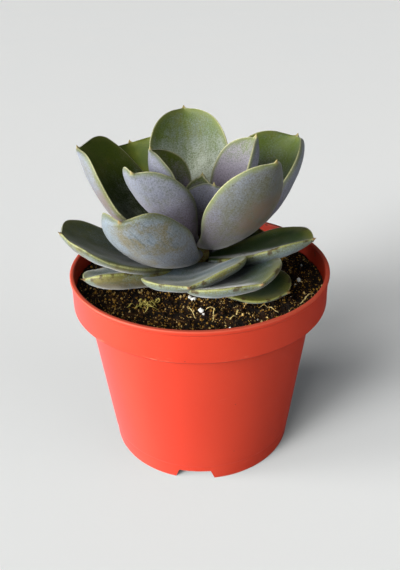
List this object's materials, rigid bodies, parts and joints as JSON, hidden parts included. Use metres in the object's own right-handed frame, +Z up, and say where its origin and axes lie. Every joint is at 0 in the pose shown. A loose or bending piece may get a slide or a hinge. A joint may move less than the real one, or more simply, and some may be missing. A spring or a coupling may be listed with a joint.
{
  "type": "potted pollux echeveria",
  "caption": "Potted rosette succulent: thick spoon-shaped blue-grey leaves on a short stem, in peat, in a round tapered nursery pot with a deep collar and a notched foot.",
  "frame": {"origin": "on the pot's axis, on the surface that the pot stands on", "axes": "+Z up along the pot's axis, -Y is the front as the picture shows it, +X is the picture's right"},
  "size_m": [0.1209, 0.12, 0.1535],
  "materials": {
    "pot_plastic": "satin moulded polypropylene",
    "peat": "coarse dark crumb",
    "stem_bark": "dry, ringed with leaf scars",
    "crown_leaf": "waxy bloom over lavender and green",
    "upper_leaf": "waxy blue-grey bloom, yellow-green margin",
    "lower_leaf": "worn bloom over olive green, brown marks"
  },
  "bodies": {
    "root": {"pot": "pot_plastic", "soil": "peat", "stem": "stem_bark", "crown_bud": "crown_leaf", "leaf_inner_right": "upper_leaf", "leaf_inner_left": "upper_leaf", "leaf_inner_front_left": "upper_leaf", "leaf_inner_front_right": "upper_leaf", "leaf_upper_back": "upper_leaf", "leaf_upper_left": "upper_leaf", "leaf_upper_back_right": "upper_leaf", "leaf_upper_back_left": "upper_leaf", "leaf_middle_front_left": "upper_leaf", "leaf_lower_back_right": "lower_leaf", "leaf_lower_back_left": "lower_leaf", "leaf_lower_right": "lower_leaf", "leaf_lower_left": "lower_leaf", "leaf_lower_front": "lower_leaf", "leaf_lower_front_right": "lower_leaf", "leaf_lower_back": "lower_leaf", "leaf_low_left": "lower_leaf", "leaf_low_front_left": "lower_leaf", "leaf_low_right": "lower_leaf", "leaf_resting_front_right": "lower_leaf"}
  },
  "joints": []
}
